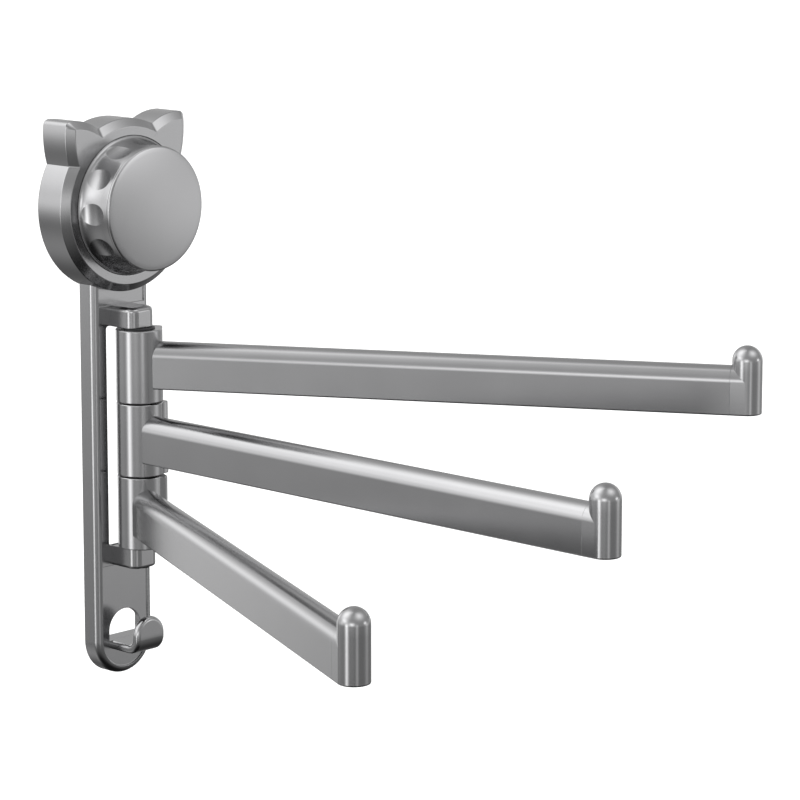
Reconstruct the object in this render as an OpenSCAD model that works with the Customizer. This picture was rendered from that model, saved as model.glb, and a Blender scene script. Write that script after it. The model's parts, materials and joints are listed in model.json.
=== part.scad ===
// Swing arm towel bar held to a smooth wall by a suction head.
// The wall is the plane Y = 0, the room is on the -Y side, and the head's axis crosses it at Z = 0.

/* [Suction head] */
// Radius of the round part of the head
head_r = 42.6; // [38:0.1:50]
// Distance from the wall to the back rim of the head shell
head_back = 0.6; // [0.3:0.1:1.5]
// Distance from the wall to the flat front of the head
head_front = 20.8; // [19:0.1:26]
// Wall of the head shell
head_wall = 3; // [2:0.1:4]
// Width of the front bevel, measured across the face
bevel_w = 3.8; // [2:0.1:4.5]
// Depth of the front bevel, measured along the axis
bevel_d = 3.3; // [2:0.1:4]
// Bevel on the back edge of the head shell
back_bevel = 1; // [0.4:0.1:1.5]
// Distance from the wall to the back of the head's floor
floor_back = 10.5; // [9.5:0.1:11]
// Thickness of the floor that the knob presses on
floor_t = 2.8; // [2:0.1:4]
// Rounding at the tip of each ear
ear_tip_r = 3; // [1:0.1:3.5]
// Wall of the hollow ears
ear_wall = 2.6; // [1.6:0.1:3.5]

/* [Knob] */
// Outer radius of the knob
knob_r = 30.6; // [26:0.1:31]
// How far the knob stands in front of the head
knob_proud = 18.7; // [16:0.1:26]
// Gap around the knob in the head's recess
knob_gap = 3.7; // [2:0.1:4]
// Wall of the knob's skirt
knob_wall = 2.6; // [2:0.1:3.5]
// Thickness of the disc that closes the knob
cap_t = 2; // [1.5:0.1:3]
// Bevel on the front edge of that disc
cap_bevel = 0.8; // [0.3:0.1:1.2]
// Number of finger dimples round the skirt
dimple_count = 11; // [8:1:12]
// Radius of the ball that cuts a dimple
dimple_ball_r = 45; // [40:1:60]
// Depth of a dimple
dimple_depth = 0.8; // [0.4:0.1:1]
// Distance from the knob's front to the middle of the dimples
dimple_set = 12.3; // [10:0.1:14]
// Turn of the ring of dimples about the knob's axis
dimple_turn = 2; // [0:1:32]
// Width across the flats of the brass nut
nut_flats = 15; // [13:0.5:17]
// Length of the brass nut
nut_l = 8; // [6:0.5:9]
// Thickness of the web that the nut pushes on
nut_web = 1.6; // [1:0.1:2.4]

/* [Suction cup and stud] */
// Radius of the stud's threaded rod
rod_r = 4; // [3:0.1:4.5]
// Radial running clearance of the rod in the nut
rod_play = 0.05; // [0.02:0.01:0.1]
// Width of the square block that stops the stud from turning
block_w = 11; // [10:0.1:12]
// Clearance on each side of that block
block_play = 0.15; // [0.1:0.05:0.3]
// Radius of the stud's disc inside the rubber cup
disc_r = 10.5; // [9.5:0.1:12]
// Thickness of the stud's disc
disc_t = 2; // [1.5:0.1:2.5]
// Thickness of the rubber in front of and behind the disc
cup_skin = 1.8; // [1.2:0.1:2]
// Clearance between the cup and the head shell
cup_gap = 0.5; // [0.3:0.1:1]
// Thickness of the cup where the ring presses on it
cup_t = 3.2; // [2.4:0.1:3.6]
// Thickness of the cup at its lip
lip_t = 1.2; // [0.8:0.1:1.8]
// Height of the air space under the middle of the cup
air_h = 2.4; // [1.5:0.1:2.6]
// Radius where the cup lifts off the wall
air_r = 19; // [16:0.5:24]
// Thickness of the slip washer under the knob
slip_t = 0.8; // [0.5:0.1:1.2]

/* [Back plate] */
// Width of the back plate
plate_w = 36.8; // [34:0.1:42]
// Depth of the back plate from its back edge to its rim
plate_t = 10.4; // [9:0.1:12]
// Distance from the wall to the plate's back edge
plate_back = 2.6; // [2:0.1:3]
// Distance from the head's axis down to the plate's lowest point
plate_drop = 236.8; // [225:0.5:260]
// Rounding of the plate's front edge, and the width of the rim
rim_r = 3.7; // [2:0.1:4]
// How far the face lies below the rim
face_drop = 0.7; // [0.3:0.1:1.2]
// Thickness of the web that carries the face
web_t = 2; // [1.5:0.1:3]
// Thickness of the plate's side walls
side_t = 3.2; // [2.4:0.1:4]
// Width of the window behind the hubs
window_w = 20.6; // [16:0.1:21]
// Rounding of the window's corners
window_r = 1.5; // [0.5:0.1:3]
// Radius of the two screws that hold the plate to the head
plate_screw_r = 1.5; // [1.2:0.1:2]
// Distance between those two screws
plate_screw_gap = 20; // [16:0.5:22]
// Length of those two screws under their heads
plate_screw_l = 9; // [7:0.5:9.5]
// Height of their heads
plate_screw_head_h = 1.2; // [0.8:0.1:1.2]

/* [Lugs and pin] */
// Width of the two lugs
lug_w = 16; // [14:0.1:20]
// Height of each lug
lug_h = 10.2; // [8:0.1:12]
// Rounding of the lugs' outer edges
lug_r = 2.4; // [1:0.1:3]
// Distance from the wall to the pin's axis
pin_out = 25.4; // [25.2:0.1:30]
// Distance from the head's axis down to the top lug's underside
stack_top = 59.7; // [57:0.1:66]
// Material of the lugs in front of the pin
lug_cover = 1.2; // [1:0.1:2]
// Radius of the steel pin
pin_r = 1.8; // [1.5:0.1:2.2]
// Clearance of the pin in the lugs
pin_fit = 0.02; // [0.01:0.01:0.05]
// Radial running clearance of the bushes on the pin
pin_play = 0.05; // [0.02:0.01:0.1]
// Radius of the plug that closes the pin's hole
plug_r = 2.1; // [2:0.05:2.3]
// Length of that plug
plug_l = 2.4; // [2:0.1:3]
// Depth of the plug below the lug's face
plug_set = 0.8; // [0.6:0.1:1.2]

/* [Hook] */
// Width of the hook
hook_w = 18.2; // [14:0.1:19]
// Thickness of the hook
hook_t = 4.7; // [3.5:0.1:5.5]
// Distance from the wall to the front of the hook
hook_front = 32; // [28:0.1:40]
// Distance from the head's axis down to the top of the hook's tongue
tongue_top = 204.8; // [200:0.1:208]
// Distance from the head's axis down to the top of the hook's shelf
shelf_top = 218.8; // [214:0.1:222]
// Inner radius of the hook's bend
bend_r = 3.4; // [2:0.1:5]
// Radius of the arched hole behind the hook
arch_r = 10.3; // [10:0.1:11.5]
// Distance from the head's axis down to the middle of the arch
arch_z = 214.1; // [212:0.1:216]

/* [Hubs] */
// Radius of each hub sleeve
hub_r = 11.5; // [10.5:0.1:11.5]
// Height of each hub sleeve
hub_h = 36; // [34:0.1:38]
// Bevel on the hub sleeve's edges
hub_bevel = 0.4; // [0.2:0.1:0.8]
// Thickness of the spacer washers between the hubs
spacer_t = 0.5; // [0.4:0.1:1.2]
// Play above and below each spacer washer
spacer_play = 0.05; // [0.03:0.01:0.2]
// Outer radius of the plastic bushes
bush_r = 4.4; // [3.5:0.1:5]
// Length of each plastic bush
bush_l = 9; // [6:0.5:12]
// How far the stop shoulder reaches along the arm
stop_l = 9; // [8:0.1:10]
// Rounding of the stop shoulder's corner
stop_r = 2; // [1:0.1:3]
// Height of the arm above the hub's lower end
arm_lift = 7; // [4:0.1:8]

/* [Arms] */
// Distance from the hub's axis to the end post's axis
arm_reach = 300; // [200:5:400]
// Width of the arm
arm_w = 14.4; // [12:0.1:16]
// Height of the arm
arm_h = 23; // [20:0.1:24]
// Wall of the arm's tube
arm_wall = 1.6; // [1.2:0.1:2]
// How far the end post rises above the arm
post_rise = 9.7; // [4:0.1:10]
// Length of the spigot that the hub puts into the arm
spigot_l = 24; // [16:1:40]
// Length of the spigot that the end post puts into the arm
post_spigot_l = 14; // [10:1:24]
// Clearance of the spigots in the arm
spigot_gap = 0.1; // [0.05:0.05:0.3]
// Radius of the screws that lock the spigots
arm_screw_r = 1.5; // [1.2:0.1:1.8]
// Angle of the top arm out from the wall
top_angle = 60; // [0:1:180]
// Angle of the middle arm out from the wall
middle_angle = 90; // [0:1:180]
// Angle of the bottom arm out from the wall
bottom_angle = 115; // [0:1:180]

/* [Hidden] */
$fn = 96;

// Overrun of every cut past the face that it opens
cut = 1;
// Clearance between fixed pieces that sit against each other
seat = 0.05;

// Ear outline: centre x, centre z and radius of its two arcs, as shares of the head's radius
ear_over_shares = [0.8, 0.278, 0.7465];
ear_side_shares = [-0.228, 0.845, 1.136];

// Head, from the wall outwards
floor_front = floor_back + floor_t;
recess_r = knob_r + knob_gap;
room_r = head_r - head_wall;
cup_r = room_r - cup_gap;
ring_t = 5.5;
ring_r = room_r - ring_t / 2;
ring_in_r = ring_r - ring_t;
disc_back = air_h + cup_skin;
disc_front = disc_back + disc_t;
boss_r = disc_r + cup_skin;
boss_front = disc_front + cup_skin;

// Knob
knob_front = head_front + knob_proud;
knob_back = floor_front + slip_t + 2 * seat;
block_half_diagonal = block_w * sqrt(2) / 2;
pocket_r = block_half_diagonal + block_play;
pocket_d = 2.8;
nut_back = knob_back + pocket_d + nut_web;
nut_r = nut_flats / 2 / cos(30);
boss_wall = 2.4;
knob_boss_r = nut_r + seat + boss_wall;
cap_back = knob_front - cap_t;
cap_rim_h = 3;
block_front = knob_back + pocket_d * 2 / 3;
rod_front = nut_back + nut_l + pocket_d;

// Back plate
plate_front = plate_back + plate_t;
face_out = plate_front - face_drop;
web_back = face_out - web_t;
plate_hw = plate_w / 2;
foot_z = -(plate_drop - plate_hw);
neck_z = -(stack_top - lug_h);
screw_head_r = 2 * plate_screw_r;
screw_seat_r = room_r + head_wall / 10;
screw_z = -sqrt(pow(screw_seat_r, 2) - pow(plate_screw_gap / 2 - screw_head_r, 2));
screw_out = (cup_t + floor_back) / 2;
pad_r = 6.5;
pad_z = -(shelf_top + hook_t + pad_r);

// Hub stack, from the top lug down
gap_h = spacer_t + 2 * spacer_play;
hub_pitch = hub_h + gap_h;
stack_z = -stack_top;
stack_bottom_z = stack_z - gap_h - 3 * hub_pitch;
lug_front = pin_out + pin_r + lug_cover;
pin_top_z = stack_z + lug_h * 2 / 3;
plug_z = stack_bottom_z - lug_h + plug_set;
hub_bore_r = bush_r + pin_fit;
spacer_r = (hub_r + bush_r) / 2;

// Arms
post_r = arm_w / 2;
post_top = arm_h + post_rise;
hub_screw_x = hub_r + spigot_l / 2;
collar_x = arm_reach - post_r;
post_screw_x = collar_x - post_spigot_l / 2;
arm_screw_head_r = 2 * arm_screw_r;

function unit(v) = v / norm(v);
function turned(v) = [v[1], -v[0]];
// Meeting point of two circles, to the left of the line from the first centre to the second
function circles_meet(a, ra, b, rb) =
    let (d = norm(b - a), x = (d * d + ra * ra - rb * rb) / (2 * d), h = sqrt(ra * ra - x * x))
    a + x * unit(b - a) - h * turned(unit(b - a));
function hub_z(level) = stack_z - gap_h - level * hub_pitch - hub_h;

// Turns a shape drawn on the wall so that its height points out into the room
module out_of_wall() {
    rotate([90, 0, 0]) children();
}

// Round slab from depth d0 to depth d1, with a bevel at its back and one at its front
module bevelled_disc(r, d0, d1, back, front_w, front_d) {
    rotate_extrude()
        polygon([[0, d0], [r - back, d0], [r, d0 + back],
            [r, d1 - front_d], [r - front_w, d1], [0, d1]]);
}

// Ring from depth d0 to depth d1
module ring(r_out, r_in, d0, d1) {
    translate([0, 0, d0])
        difference() {
            cylinder(r = r_out, h = d1 - d0);
            translate([0, 0, -cut]) cylinder(r = r_in, h = d1 - d0 + 2 * cut);
        }
}

// One ear: two bevelled arcs that meet at a rounded tip
module ear() {
    over = head_r * [ear_over_shares[0], ear_over_shares[1]];
    over_r = head_r * ear_over_shares[2];
    side = head_r * [ear_side_shares[0], ear_side_shares[1]];
    side_r = head_r * ear_side_shares[2];
    tip = circles_meet(side, side_r - ear_tip_r, over, over_r - ear_tip_r);
    tip_over = over + over_r * unit(tip - over);
    tip_side = side + side_r * unit(tip - side);
    along = unit(tip_side - tip_over);
    inward = turned(along);
    difference() {
        intersection() {
            translate(over)
                bevelled_disc(over_r, head_back, head_front, back_bevel, bevel_w, bevel_d);
            translate(side)
                bevelled_disc(side_r, head_back, head_front, back_bevel, bevel_w, bevel_d);
            union() {
                linear_extrude(head_front)
                    polygon([tip_over - head_r * along, tip_side + head_r * along,
                        tip_side + head_r * (along + inward), tip_over + head_r * (inward - along)]);
                translate(tip) {
                    cylinder(r = ear_tip_r, h = head_front - bevel_d);
                    translate([0, 0, head_front - bevel_d])
                        cylinder(r1 = ear_tip_r, r2 = 0, h = bevel_d * ear_tip_r / bevel_w);
                }
            }
        }
        // The ear is hollow from behind, outside the round wall of the head
        difference() {
            intersection() {
                translate(over) cylinder(r = over_r - ear_wall, h = head_front - bevel_d - ear_wall);
                translate(side) cylinder(r = side_r - ear_wall, h = head_front - bevel_d - ear_wall);
                translate([0, 0, -cut]) cylinder(r = norm(tip), h = head_front);
            }
            translate([0, 0, -cut]) cylinder(r = head_r, h = head_front);
        }
    }
}

module head_shell() {
    color("dimgray") out_of_wall() difference() {
        union() {
            bevelled_disc(head_r, head_back, head_front, back_bevel, bevel_w, bevel_d);
            ear();
            mirror([1, 0, 0]) ear();
        }
        translate([0, 0, floor_front]) cylinder(r = recess_r, h = head_front);
        translate([0, 0, -cut]) cylinder(r = room_r, h = floor_back + cut);
        translate([-block_w / 2 - block_play, -block_w / 2 - block_play, 0])
            cube([block_w + 2 * block_play, block_w + 2 * block_play, head_front]);
        plate_screw_places() {
            cylinder(r = plate_screw_r + pin_play, h = head_r);
            translate([0, 0, -head_wall]) cylinder(r = screw_head_r + seat, h = head_wall);
        }
    }
}

// The two screws point straight down from flat seats inside the head's wall
module plate_screw_places() {
    for (side = [-1, 1])
        translate([side * plate_screw_gap / 2, screw_z, screw_out])
            rotate([90, 0, 0]) children();
}

module plate_screws() {
    color("silver") out_of_wall() plate_screw_places() {
        translate([0, 0, -plate_screw_head_h])
            cylinder(r = plate_screw_r, h = plate_screw_head_h + plate_screw_l);
        translate([0, 0, -plate_screw_head_h])
            cylinder(r = screw_head_r, h = plate_screw_head_h - seat);
    }
}

module suction_cup() {
    step = cup_t - lip_t;
    color("#c9cdd0") out_of_wall() difference() {
        rotate_extrude()
            polygon([[air_r, 0], [cup_r, 0], [cup_r, lip_t], [cup_r - step, cup_t],
                [boss_r + step, cup_t], [boss_r, cup_t + step], [boss_r, boss_front],
                [0, boss_front], [0, air_h], [air_r / 2, air_h]]);
        translate([0, 0, disc_back - seat]) cylinder(r = disc_r + seat, h = disc_t + 2 * seat);
        translate([-block_w / 2 - seat, -block_w / 2 - seat, disc_front - seat])
            cube([block_w + 2 * seat, block_w + 2 * seat, boss_front]);
    }
}

module cup_stud() {
    color("silver") out_of_wall() {
        translate([0, 0, disc_back]) cylinder(r = disc_r, h = disc_t);
        translate([-block_w / 2, -block_w / 2, disc_front - disc_t / 2])
            cube([block_w, block_w, block_front - disc_front + disc_t / 2]);
        translate([0, 0, block_front - cut]) cylinder(r = rod_r, h = rod_front - block_front + cut);
    }
}

module pressure_ring() {
    color("#3a3d40") out_of_wall() ring(ring_r, ring_in_r, cup_t + 4 * seat, floor_back - seat);
}

module slip_washer() {
    color("ivory") out_of_wall()
        ring(2 * pocket_r, pocket_r + seat, floor_front + seat, floor_front + seat + slip_t);
}

module knob_body() {
    ball_out = knob_r - dimple_depth + dimple_ball_r;
    boss_front_d = nut_back + nut_l + boss_wall;
    color("gray") out_of_wall() difference() {
        translate([0, 0, knob_back]) cylinder(r = knob_r, h = cap_back - knob_back);
        difference() {
            translate([0, 0, knob_back + knob_wall])
                cylinder(r = knob_r - knob_wall, h = knob_front);
            cylinder(r = knob_boss_r, h = boss_front_d);
        }
        translate([0, 0, knob_back - cut]) cylinder(r = pocket_r, h = pocket_d + cut);
        cylinder(r = rod_r + nut_web / 2, h = knob_front);
        translate([0, 0, nut_back]) cylinder(r = nut_r + seat / cos(30), h = knob_front, $fn = 6);
        for (i = [0 : dimple_count - 1])
            rotate(180 + dimple_turn + i * 360 / dimple_count)
                translate([ball_out, 0, knob_front - dimple_set]) sphere(r = dimple_ball_r);
    }
}

module knob_nut() {
    color("goldenrod") out_of_wall() difference() {
        translate([0, 0, nut_back + seat]) cylinder(r = nut_r, h = nut_l, $fn = 6);
        cylinder(r = rod_r + rod_play, h = knob_front);
    }
}

module knob_cap() {
    rim_r_out = knob_r - knob_wall - seat;
    color("darkgray") out_of_wall() {
        bevelled_disc(knob_r, cap_back + seat, knob_front, 0, cap_bevel, cap_bevel);
        ring(rim_r_out, rim_r_out - knob_wall, cap_back - cap_rim_h, cap_back + cap_t / 2);
    }
}

// Half of the plate's cross section, from its middle out, with y as the distance from the wall
module plate_half() {
    difference() {
        union() {
            translate([0, plate_back]) square([plate_hw, plate_t - rim_r]);
            translate([0, plate_back]) square([plate_hw - rim_r, plate_t]);
            translate([plate_hw - rim_r, plate_front - rim_r]) circle(r = rim_r);
        }
        translate([-cut, face_out]) square([plate_hw - rim_r + cut, plate_t]);
        translate([-cut, plate_back - cut]) square([plate_hw - side_t + cut, web_back - plate_back + cut]);
    }
}

// Solid filling of the hollow plate between two heights
module plate_fill(z0, z1) {
    translate([-plate_hw + side_t / 2, z0, plate_back])
        cube([plate_w - side_t, z1 - z0, web_back - plate_back + web_t / 2]);
}

// Lug that carries the pin, standing up from height z, or hanging down from it where down = 1
module lug(z, down) {
    front = -lug_front;
    root = -web_back - web_t / 2;
    hw = lug_w / 2;
    translate([0, 0, z]) mirror([0, 0, down]) intersection() {
        linear_extrude(lug_h) union() {
            translate([-hw, front + lug_r]) square([lug_w, root - front - lug_r]);
            translate([-hw + lug_r, front]) square([lug_w - 2 * lug_r, root - front]);
            for (side = [-1, 1]) translate([side * (hw - lug_r), front + lug_r]) circle(r = lug_r);
        }
        rotate([90, 0, 90]) translate([0, 0, -hw - cut]) linear_extrude(lug_w + 2 * cut) union() {
            translate([front, 0]) square([root - front, lug_h - lug_r]);
            translate([front + lug_r, 0]) square([root - front - lug_r, lug_h]);
            translate([front + lug_r, lug_h - lug_r]) circle(r = lug_r);
        }
    }
}

// The hook: a shelf that bends up into a tongue with a round top
module hook() {
    outer_r = bend_r + hook_t;
    tongue_z = -tongue_top - hook_w / 2;
    bend_y = -hook_front + outer_r;
    bend_z = -shelf_top + bend_r;
    root = -web_back - web_t / 2;
    intersection() {
        rotate([90, 0, 90]) translate([0, 0, -hook_w / 2]) linear_extrude(hook_w) union() {
            translate([bend_y, -shelf_top - hook_t]) square([root - bend_y, hook_t]);
            translate([-hook_front, bend_z]) square([hook_t, -tongue_top - bend_z]);
            intersection() {
                translate([bend_y, bend_z]) difference() {
                    circle(r = outer_r);
                    circle(r = bend_r);
                }
                translate([bend_y - outer_r, bend_z - outer_r]) square(outer_r);
            }
        }
        out_of_wall() linear_extrude(hook_front + cut) union() {
            translate([0, tongue_z]) circle(r = hook_w / 2);
            translate([-hook_w / 2, -plate_drop]) square([hook_w, plate_drop + tongue_z]);
        }
    }
}

module back_plate() {
    color("gray") difference() {
        union() {
            out_of_wall() {
                for (side = [0, 1]) mirror([side, 0, 0])
                    translate([0, foot_z, 0]) rotate([-90, 0, 0]) mirror([0, 1, 0])
                        linear_extrude(-foot_z - head_r / 2) plate_half();
                translate([0, foot_z, 0]) rotate([0, 0, 180]) rotate_extrude(angle = 180) plate_half();
                plate_fill(neck_z - lug_h, -head_r / 2);
                intersection() {
                    plate_fill(-plate_drop, -shelf_top);
                    union() {
                        translate([0, foot_z, 0]) cylinder(r = plate_hw - side_t / 2, h = plate_front);
                        translate([-plate_hw, foot_z, 0]) cube([plate_w, plate_hw, plate_front]);
                    }
                }
                plate_fill(stack_bottom_z - lug_h, stack_bottom_z);
                // From lug to lug the face is level with the rim
                translate([rim_r - plate_hw, stack_bottom_z - lug_h, face_out - web_t / 2])
                    cube([plate_w - 2 * rim_r, neck_z - stack_bottom_z + lug_h, face_drop + web_t / 2]);
            }
            lug(stack_z, 0);
            lug(stack_bottom_z, 1);
            hook();
        }
        out_of_wall() {
            cylinder(r = head_r + seat, h = plate_front + cut);
            window();
            hook_hole();
            plate_screw_places() cylinder(r = plate_screw_r + seat, h = plate_screw_l + cut);
        }
        translate([0, -pin_out, plug_z]) cylinder(r = pin_r + pin_fit, h = pin_top_z - plug_z);
        translate([0, -pin_out, plug_z - plug_set - cut])
            cylinder(r = plug_r + seat, h = plug_l + plug_set + cut);
    }
}

// Window behind the hubs, from lug to lug
module window() {
    w = window_w / 2;
    h = stack_z - stack_bottom_z;
    translate([0, stack_bottom_z, 0]) linear_extrude(plate_front + cut) union() {
        translate([-w + window_r, 0]) square([window_w - 2 * window_r, h]);
        translate([-w, window_r]) square([window_w, h - 2 * window_r]);
        for (x = [-1, 1], y = [window_r, h - window_r])
            translate([x * (w - window_r), y]) circle(r = window_r);
    }
}

// Arched hole above the hook's shelf
module hook_hole() {
    linear_extrude(plate_front + cut) union() {
        translate([0, -arch_z]) circle(r = arch_r);
        translate([-arch_r, -shelf_top]) square([2 * arch_r, shelf_top - arch_z]);
    }
}

module wall_pad() {
    color("#2b2b2d") out_of_wall()
        translate([0, pad_z, 0]) cylinder(r = pad_r, h = plate_back - seat);
}

module pivot_pin() {
    bottom = plug_z + plug_l + seat;
    color("silver") translate([0, -pin_out, bottom])
        cylinder(r = pin_r, h = pin_top_z - bottom - seat);
}

module pin_plug() {
    color("#4a4c50") translate([0, -pin_out, plug_z + seat]) cylinder(r = plug_r, h = plug_l - seat);
}

module spacer_washers() {
    color("#1d1e20") for (level = [0 : 3])
        translate([0, -pin_out, stack_z - spacer_play - spacer_t - level * hub_pitch]) difference() {
            cylinder(r = spacer_r, h = spacer_t);
            translate([0, 0, -cut]) cylinder(r = pin_r + pin_play, h = spacer_t + 2 * cut);
        }
}

// Places a shape drawn along +X, with its foot at the hub's lower end, on one level of the stack
module on_level(level, angle) {
    translate([0, -pin_out, hub_z(level)]) rotate([0, 0, -angle]) children();
}

// Cross section of the arm: flat sides and a half round top
module arm_section(inset) {
    r = arm_w / 2 - inset;
    translate([-r, inset]) square([2 * r, arm_h - arm_w / 2 - inset]);
    translate([0, arm_h - arm_w / 2]) circle(r = r);
}

// Bar of that section from x0 to x1 along the arm
module arm_bar(x0, x1, inset) {
    translate([x0, 0, arm_lift]) rotate([90, 0, 90]) linear_extrude(x1 - x0) arm_section(inset);
}

// Shoulder beside the arm that meets the plate and ends the swing
module stop_shoulder(grow) {
    l = stop_l + grow;
    w = hub_r + grow;
    difference() {
        union() {
            cube([l - stop_r, w, hub_h]);
            cube([l, w - stop_r, hub_h]);
            translate([l - stop_r, w - stop_r, 0]) cylinder(r = stop_r, h = hub_h);
        }
        translate([0, 0, -cut]) cylinder(r = hub_bore_r, h = hub_h + 2 * cut);
    }
}

module hub() {
    difference() {
        union() {
            bevelled_disc(hub_r, 0, hub_h, hub_bevel, hub_bevel, hub_bevel);
            stop_shoulder(0);
            arm_bar(hub_r - arm_wall, hub_r + spigot_l, arm_wall + spigot_gap);
        }
        translate([0, 0, -cut]) cylinder(r = hub_bore_r, h = hub_h + 2 * cut);
        translate([hub_screw_x, 0, 0])
            cylinder(r = arm_screw_r + seat, h = arm_lift + arm_h / 2 + cut);
    }
}

module bushes() {
    for (z = [0, hub_h - bush_l]) translate([0, 0, z]) difference() {
        cylinder(r = bush_r, h = bush_l);
        translate([0, 0, -cut]) cylinder(r = pin_r + pin_play, h = bush_l + 2 * cut);
    }
}

module arm() {
    difference() {
        arm_bar(stop_l - arm_wall, collar_x - seat, 0);
        arm_bar(0, arm_reach, arm_wall);
        translate([0, 0, -cut]) cylinder(r = hub_r + seat, h = hub_h + 2 * cut);
        stop_shoulder(seat);
        for (x = [hub_screw_x, post_screw_x]) translate([x, 0, arm_lift - cut]) {
            cylinder(r = arm_screw_r + seat, h = arm_wall + 2 * cut);
            cylinder(r = arm_screw_head_r + seat, h = cut + arm_wall / 2);
        }
    }
}

module post() {
    difference() {
        union() {
            translate([arm_reach, 0, arm_lift]) {
                cylinder(r = post_r, h = post_top - post_r);
                translate([0, 0, post_top - post_r]) sphere(r = post_r);
            }
            arm_bar(collar_x, arm_reach, 0);
            arm_bar(collar_x - post_spigot_l, arm_reach, arm_wall + spigot_gap);
        }
        translate([post_screw_x, 0, 0])
            cylinder(r = arm_screw_r + seat, h = arm_lift + arm_h / 2 + cut);
    }
}

module arm_screws() {
    for (x = [hub_screw_x, post_screw_x]) translate([x, 0, arm_lift]) {
        cylinder(r = arm_screw_head_r, h = arm_wall / 2 - seat);
        cylinder(r = arm_screw_r, h = arm_h / 2);
    }
}

module hub_top() { color("gray") on_level(0, top_angle) hub(); }
module hub_middle() { color("gray") on_level(1, middle_angle) hub(); }
module hub_bottom() { color("gray") on_level(2, bottom_angle) hub(); }
module bushes_top() { color("ivory") on_level(0, top_angle) bushes(); }
module bushes_middle() { color("ivory") on_level(1, middle_angle) bushes(); }
module bushes_bottom() { color("ivory") on_level(2, bottom_angle) bushes(); }
module arm_top() { color("darkgray") on_level(0, top_angle) arm(); }
module arm_middle() { color("darkgray") on_level(1, middle_angle) arm(); }
module arm_bottom() { color("darkgray") on_level(2, bottom_angle) arm(); }
module post_top() { color("gray") on_level(0, top_angle) post(); }
module post_middle() { color("gray") on_level(1, middle_angle) post(); }
module post_bottom() { color("gray") on_level(2, bottom_angle) post(); }
module arm_screws_top() { color("silver") on_level(0, top_angle) arm_screws(); }
module arm_screws_middle() { color("silver") on_level(1, middle_angle) arm_screws(); }
module arm_screws_bottom() { color("silver") on_level(2, bottom_angle) arm_screws(); }

suction_cup();
cup_stud();
pressure_ring();
head_shell();
slip_washer();
knob_body();
knob_nut();
knob_cap();
back_plate();
plate_screws();
wall_pad();
pivot_pin();
pin_plug();
spacer_washers();
hub_top();
hub_middle();
hub_bottom();
bushes_top();
bushes_middle();
bushes_bottom();
arm_top();
arm_middle();
arm_bottom();
post_top();
post_middle();
post_bottom();
arm_screws_top();
arm_screws_middle();
arm_screws_bottom();
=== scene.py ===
# %% [markdown]
# Swing arm towel bar. The imported model is the fixed frame of this scene: its nodes already sit at their
# real place and size, in metres, with X to the right along the wall, Y into the wall and Z up. The
# pieces made below dress it, so the first step loads it and gives a helper that reads a node's box.

# %% Load the frame
import json
import math

import bmesh
import bpy
import numpy as np
from mathutils import Euler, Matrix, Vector, geometry


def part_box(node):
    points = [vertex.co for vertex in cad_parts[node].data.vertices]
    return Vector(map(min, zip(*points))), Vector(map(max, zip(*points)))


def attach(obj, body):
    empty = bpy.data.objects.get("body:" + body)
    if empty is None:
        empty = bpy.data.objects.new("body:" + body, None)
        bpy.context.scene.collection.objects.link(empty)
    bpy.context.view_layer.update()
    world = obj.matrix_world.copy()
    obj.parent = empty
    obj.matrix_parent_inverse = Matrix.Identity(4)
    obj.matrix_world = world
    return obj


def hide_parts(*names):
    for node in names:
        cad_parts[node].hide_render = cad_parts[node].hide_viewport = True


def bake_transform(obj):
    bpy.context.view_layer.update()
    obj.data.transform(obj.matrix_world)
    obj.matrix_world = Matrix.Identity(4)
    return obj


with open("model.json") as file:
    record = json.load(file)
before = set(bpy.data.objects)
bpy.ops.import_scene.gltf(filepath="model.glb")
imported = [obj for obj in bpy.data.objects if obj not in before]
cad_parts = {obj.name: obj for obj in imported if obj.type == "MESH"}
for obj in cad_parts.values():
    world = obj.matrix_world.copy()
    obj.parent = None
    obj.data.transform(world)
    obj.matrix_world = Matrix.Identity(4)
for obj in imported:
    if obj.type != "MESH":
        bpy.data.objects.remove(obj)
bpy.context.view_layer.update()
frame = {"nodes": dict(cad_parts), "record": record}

MM = 0.001

# %% [markdown]
# The photograph is taken from the left and a little above with a long lens. Its own lens shift would
# throw the object out of every other view, so the camera tips down instead and keeps a small shift.
# That leaves the upright lines about a degree from parallel, which is the least that can be had.

# %% Camera
CAMERA_AT = (-1096.5, -1249.3, 214.5)
CAMERA_TURN_DEG = 46.33
CAMERA_DIP_DEG = 9.384
LENS_MM = 152.36
SHIFT_UP = -0.1

camera_data = bpy.data.cameras.new("camera")
camera_data.lens = LENS_MM
camera_data.sensor_width = 36
camera_data.shift_y = SHIFT_UP
camera_data.clip_end = 20
camera = bpy.data.objects.new("camera", camera_data)
camera.location = Vector(CAMERA_AT) * MM
camera.rotation_euler = Euler(
    (math.radians(90 - CAMERA_DIP_DEG), 0, math.radians(-CAMERA_TURN_DEG)))
bpy.context.scene.collection.objects.link(camera)
bpy.context.scene.camera = camera
print("camera at", [round(v, 3) for v in camera.location])

# %% [markdown]
# Every surface here is a grid of points or an outline pushed along an axis. Three small helpers carry
# that: one rounds the corners of a path, one moves a closed outline inwards, and one lists the quads of
# a grid. The short guard step beside each rounding keeps the shading of the flat next to it flat.

# %% Paths and grids
ARC_STEPS = 6
GUARD = 0.12


def unit(v):
    """v divided by its length."""
    v = np.asarray(v, float)
    return v / np.linalg.norm(v)


def arc(centre, radius, start_deg, end_deg, steps=ARC_STEPS):
    """Points centre + radius * (cos a, sin a), with a from start to end."""
    a = np.radians(np.linspace(start_deg, end_deg, steps + 1))
    return np.stack([centre[0] + radius * np.cos(a), centre[1] + radius * np.sin(a)], 1)


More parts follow.
